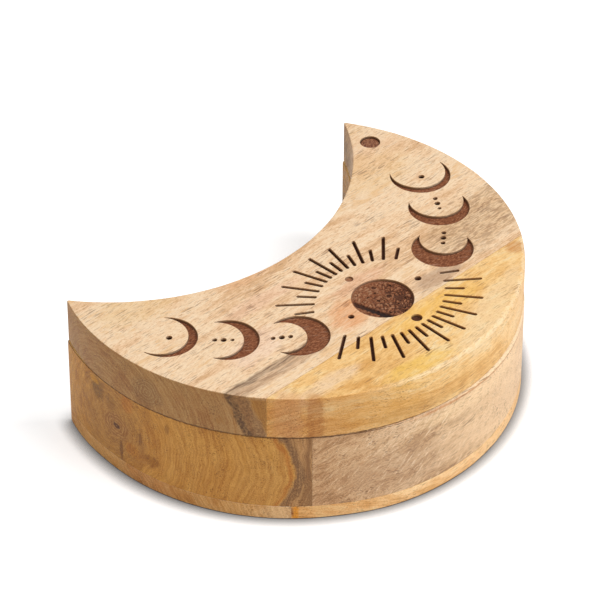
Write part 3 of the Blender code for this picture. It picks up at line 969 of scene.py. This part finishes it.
def bent_band(wood, colour):
    """The dark band that bends down the wall to its front seam, with an orange edge."""
    front = wood.span(wood.y, -38.0, -46.0)
    off = wood.combine(0.0, wood.math("ADD", wood.y, 29.0), wood.minus(wood.z, 22.0))
    radius = wood.plus(wood.vector("LENGTH", off), wood.rough(6.0, 0.8))
    dark = wood.times(front, wood.span(radius, 31.2, 32.2))
    lines = wood.mix(wood.rings(0.7, 0.38, 0.62), "947357", "cfaa84")
    colour = wood.mix(wood.times(dark, 0.85), colour, lines)
    core = wood.times(front, wood.within(radius, 31.8, 34.0, 0.6))
    streaks = wood.span(wood.speck, 0.42, 0.56, 0.75, 0.25)
    colour = wood.mix(wood.times(core, streaks), colour, "6b4f3d")
    edge = wood.times(front, wood.within(radius, 30.0, 31.2, 0.5))
    return wood.mix(wood.times(edge, 0.6), colour, "c47c2c")


def wall_rear_wood():
    wood = Wood("brown mango wood", turn=-2.0, pith=(10.0, 23.0), sway=4.0)
    colour = wood.tones("c28f48", "d3a258", "deb066", "e6bb74", "d4a458", lines=0.12)
    colour = wood.mix(wood.times(wood.rings(5.0), 0.25), colour, "efcb8c")
    colour = wood.stain(colour, [
        ((-88, 12, 22), (30, 19, 26), 0, 0.65, "b89468"),
        ((-90, 19, 33), (30, 4, 5), 0, 0.65, "7d6440"),
        ((-90, 11, 31), (30, 3, 4), 0, 0.5, "8f6838"),
        ((-90, 2, 35.5), (30, 3.2, 4.6), 0, 0.6, "d8964a"),
        ((-90, 21, 36), (30, 3, 1.6), 0, 0.8, "e5b445"),
        ((-90, 0, 14.5), (30, 4, 3.2), 0, 0.7, "cf9338"),
        ((-90, 5.8, 11.5), (30, 1.1, 5), 0, 0.7, "6d431c"),
        ((-90, -4.4, 22), (30, 0.9, 3.5), 0, 0.6, "7c4f22"),
        ((-90, -10, 14), (30, 3.6, 2.6), 0, 0.75, "a87420"),
        ((-88, -17, 33), (30, 1, 3), 0, 0.55, "8c5f2c"),
        # Painted shade: this dark patch darkens the sides round the right-hand tip, whose inner wall
        # faces away from the key lamp.
        ((71, 47, 20), (10, 20, 26), -30, 0.9, "857458"),
    ])
    colour = painted_joint_shade(wood, bent_band(wood, knot(wood, colour)))
    return wood.seal(colour, "6b431f", 0.55, "e4cfa4")


def wall_front_wood():
    wood = Wood("sand mango wood", turn=-6.0, pith=(-30.0, 70.0), sway=6.0)
    colour = wood.tones("b38d67", "cca57c", "dcb78f", "e8c9a4", "d7ae84")
    colour = wood.stain(colour, [
        ((14, -88, 34), (40, 20, 4.6), 0, 0.7, "f3d3a6"),
        ((66, -62, 22), (34, 26, 24), 0, 0.85, "fde9ce"),
        ((-30, -85, 17), (34, 20, 11), 0, 0.5, "b8926f"),
        ((20, -88, 16), (24, 20, 5), 0, 0.45, "bd9876"),
    ])
    unrolled = wood.combine(wood.times(wood.bearing, 90.0), wood.z, 0.0)
    flecks = wood.noise(wood.turned(unrolled, -50), (7.0, 0.9, 1.0), detail=5.0, roughness=0.75)
    colour = wood.mix(wood.span(flecks, 0.54, 0.64, 0.0, 0.65), colour, "fbe4c4")
    colour = wood.mix(wood.span(flecks, 0.46, 0.36, 0.0, 0.5), colour, "9a7654")
    colour = wood.stain(colour, [((24, -84, 22), (40, 24, 28), 0, 0.65, "fbd9ae")])
    colour = painted_joint_shade(wood, worn_rim_highlight(wood, colour))
    return wood.seal(colour, "7b5535", 0.6, "e8d6c0")


def base_rear_wood():
    wood = Wood("sand base wood", turn=-2.0, pith=(40.0, -30.0), sway=4.0)
    colour = wood.tones("cf9f66", "e2b57c", "eec895", "f4d5ab", "e8bd88")
    colour = wood.stain(colour, [
        ((-62, -62, 3), (22, 16, 9), 0, 0.95, "ffe6c8"),
        ((-86, -6, 3), (12, 12, 9), 0, 0.5, "d9a47c"),
    ])
    return wood.seal(colour, "7b5535", 0.5, "e0cba2")


def base_front_wood():
    wood = Wood("golden base wood", turn=-2.0, pith=(-60.0, -40.0), sway=4.0)
    colour = wood.tones("dca96a", "eebd80", "f8cd96", "fbdaa8", "f3c78a")
    colour = wood.stain(colour, [
        ((30, -86, 3), (40, 12, 9), 0, 0.5, "f4c48c"),
        ((-65.6, -61.4, 3), (1.6, 1.6, 5), -48, 0.95, "eea51e"),
        ((-66.6, -60.5, 3.6), (1, 1.2, 2.8), -48, 1, "701c06"),
    ])
    return wood.seal(colour, "7e5428", 0.5, "e8d4ac")


def plug_wood():
    wood = Wood("stained plug wood", turn=20.0)
    speck = wood.noise(wood.grain, (1.6, 0.4, 0.4))
    colour = wood.ramp(speck, [(0.32, "5a2e1a"), (0.48, "824f34"), (0.66, "a87a5a")])
    return wood.seal(colour, "3d1c10", 0.5, "ffffff")


def worn_finish(name, tones, roughness, metallic):
    """Metal or plastic whose tone and gloss vary a little with wear."""
    material = bpy.data.materials.new(name)
    material.use_nodes = True
    paint = Paint(material.node_tree)
    shader = paint.tree.nodes["Principled BSDF"]
    place = paint.node("TexCoord", output=3)
    worn = paint.noise(place, (0.0011, 0.0011, 0.0011))
    tone = paint.mix(paint.span(worn, 0.3, 0.7), tones[0], tones[1])
    paint.set(shader.inputs["Base Color"], tone)
    paint.set(shader.inputs["Roughness"], paint.span(worn, 0.3, 0.7, roughness, roughness + 0.15))
    paint.set(shader.inputs["Normal"], paint.node("Bump", {
        "Strength": 0.15, "Distance": 0.0001, "Height": worn}))
    shader.inputs["Metallic"].default_value = metallic
    return material


# The box

def dress(obj, name, node, body, material):
    """Finish a piece, put it on its body and let it stand for its node."""
    obj.name = name
    finish_surface(obj, material)
    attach(obj, body)
    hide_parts(node)


def make_lid():
    """The lid's two boards, carved and bored as one and then parted at the seam."""
    outline = crescent(LID_INSET, TIP_RADIUS - LID_INSET, TIP_STEPS)
    whole = eased_board("lid", outline, LID_BOTTOM, LID_TOP, LID_UNDER_EASE, worn_ease, seed=3)
    cutters = (carving_cutter(), plug_hole())
    carved(whole, *cutters)
    removed(*cutters)
    rear, front = parted(whole, LID_FRONT_WIDTH)
    dress(rear, "lid_rear", "lid_rear_board", "lid", lid_rear_wood())
    dress(front, "lid_front", "lid_front_board", "lid", lid_front_wood())


def cavity_cutter():
    """The crescent cavity, with its upper edge rounded over."""
    outline = crescent(WALL_THICKNESS, CAVITY_CORNER, 24, 160, 90)
    rings = [ring(outline, 0.0, WALL_BOTTOM - PAST)]
    for k in range(5):
        angle = k * math.pi / 8
        rings.append(ring(outline, CAVITY_EASE * (1 - math.cos(angle)),
                          WALL_TOP - CAVITY_EASE * (1 - math.sin(angle))))
    rings.append(ring(outline, CAVITY_EASE, WALL_TOP + PAST))
    form = bmesh.new()
    add_loft(form, rings)
    cavity = mesh_object("cavity", form)
    cavity.location = BELLY_CENTRE
    return cavity


def screw_hole():
    """The seat for the swivel's washer in the wall's rim, and the screw's hole below it."""
    seat = (WASHER_HIGH.x - WASHER_LOW.x) / 2 + SCREW_CLEARANCE
    floor = WASHER_LOW.z - SEAT_GAP
    return turned_hole("screw_hole", [
        (WALL_BORE, SCREW_POINT - SEAT_GAP), (WALL_BORE, floor), (seat, floor),
        (seat, WALL_TOP + PAST)])


def make_walls():
    """The two wall blocks, hollowed as one and then parted at the seam."""
    whole = eased_board("walls", sawn_outline(), WALL_BOTTOM, WALL_TOP, SAWN_EDGE, worn_rim, seed=8)
    cutters = (cavity_cutter(), screw_hole())
    carved(whole, *cutters)
    removed(*cutters)
    rear, front = parted(whole, WALL_FRONT_WIDTH)
    dress(rear, "wall_rear", "wall_rear_block", "box_body", wall_rear_wood())
    dress(front, "wall_front", "wall_front_block", "box_body",
          wall_front_wood())


def make_base():
    whole = eased_board("base", sawn_outline(), 0.0, BASE_TOP, FOOT_EASE, SAWN_EDGE, seed=13)
    rear, front = parted(whole, BASE_FRONT_WIDTH)
    dress(rear, "base_rear", "base_rear_board", "box_body", base_rear_wood())
    dress(front, "base_front", "base_front_board", "box_body",
          base_front_wood())


def make_plug():
    """The plug that hides the screw, with a rounded rim."""
    outline = circle(PIVOT.to_2d(), PLUG_RADIUS, 56)
    rings = [ring(outline, 0.0, PLUG_LOW.z)]
    for k in range(4):
        angle = k * math.pi / 6
        rings.append(ring(outline, -PLUG_EASE * (1 - math.cos(angle)),
                          PLUG_HIGH.z - PLUG_EASE * (1 - math.sin(angle))))
    form = bmesh.new()
    add_loft(form, rings)
    plug = mesh_object("plug", form)
    dress(plug, "plug", "pivot_plug", "lid", plug_wood())


def finish_swivel():
    """The screw and its washers keep their solids and only get a finish."""
    steel = worn_finish("zinc-plated steel", ("b8b2a4", "8c877c"), 0.30, 1.0)
    nylon = worn_finish("white nylon", ("ecebe4", "dcdad0"), 0.45, 0.0)
    for node, finish in (("pivot_screw", steel), ("head_washer", steel), ("pivot_washer", nylon)):
        materials = frame["nodes"][node].data.materials
        materials.clear()
        materials.append(finish)


# Floor, light and camera

def camera_only(paint):
    """1 for rays that see the thing directly, in a mirror or through glass."""
    path = paint.node("LightPath").node.outputs
    seen = paint.math("ADD", path["Is Camera Ray"], path["Is Glossy Ray"])
    return paint.math("ADD", seen, path["Is Transmission Ray"], clamp=True)


def white_paper():
    """The floor's white. To the camera it is lifted, with painted contact shade from an occlusion
    node only where the box is close.
    """
    material = bpy.data.materials.new("white paper")
    material.use_nodes = True
    paint = Paint(material.node_tree)
    nodes = paint.tree.nodes
    nodes.remove(nodes["Principled BSDF"])
    seen = camera_only(paint)
    # Painted shade: an occlusion node darkens the floor's colour close to the box.
    open_share = paint.node("AmbientOcclusion", {"Distance": CONTACT_REACH}, output=1,
                            samples=8)
    shade = paint.math("POWER", open_share, CONTACT_POWER)
    contact = paint.math("MULTIPLY_ADD", seen, paint.minus(shade, 1.0), 1.0)
    white = paint.mix(contact, (0.0, 0.0, 0.0, 1.0), (FLOOR_WHITE, FLOOR_WHITE, FLOOR_WHITE, 1.0))
    diffuse = paint.node("BsdfDiffuse", {"Color": white})
    glow = paint.node("Emission", {"Strength": paint.times(seen, contact, FLOOR_LIFT)})
    both = paint.node("AddShader", {0: diffuse, 1: glow})
    paint.set(nodes["Material Output"].inputs["Surface"], both)
    return material


def make_floor():
    form = bmesh.new()
    bmesh.ops.create_grid(form, x_segments=1, y_segments=1, size=FLOOR_REACH)
    floor = mesh_object("floor", form)
    floor.location.z = -FLOOR_DROP
    floor.data.materials.append(white_paper())


def make_world():
    """A sky that lights the box plainly and shows as white."""
    world = bpy.data.worlds.new("studio")
    bpy.context.scene.world = world
    world.use_nodes = True
    paint = Paint(world.node_tree)
    background = paint.tree.nodes["Background"].inputs
    background["Color"].default_value = (1.0, 1.0, 1.0, 1.0)
    strength = paint.math("MULTIPLY_ADD", camera_only(paint), 1 - SKY_LEVEL, SKY_LEVEL)
    paint.set(background["Strength"], strength)


def toward(azimuth, elevation):
    """The direction out to a place round the box."""
    return Vector((math.sin(azimuth) * math.cos(elevation),
                   -math.cos(azimuth) * math.cos(elevation), math.sin(elevation)))


def area_light(name, lamp):
    """A round lamp that shines at the middle of the belly's circle."""
    data = bpy.data.lights.new(name, "AREA")
    data.shape = "DISK"
    data.size = LAMP_SIZE
    data.energy = lamp["power"]
    light = add_object(name, data)
    back = toward(lamp["azimuth"], lamp["elevation"])
    light.location = BELLY_CENTRE + back * LAMP_DISTANCE
    light.rotation_euler = back.to_track_quat("Z", "Y").to_euler()


def make_camera():
    data = bpy.data.cameras.new("camera")
    data.lens = CAMERA_LENS
    data.clip_end = 20.0
    camera = add_object("camera", data)
    back = toward(CAMERA_AZIMUTH, CAMERA_ELEVATION)
    camera.location = CAMERA_TARGET + back * CAMERA_DISTANCE
    camera.rotation_euler = back.to_track_quat("Z", "Y").to_euler()
    bpy.context.scene.camera = camera


make_lid()
make_walls()
make_base()
make_plug()
finish_swivel()
make_floor()
make_world()
area_light("key", KEY)
area_light("fill", FILL)
make_camera()
bpy.context.scene.view_settings.view_transform = "Standard"
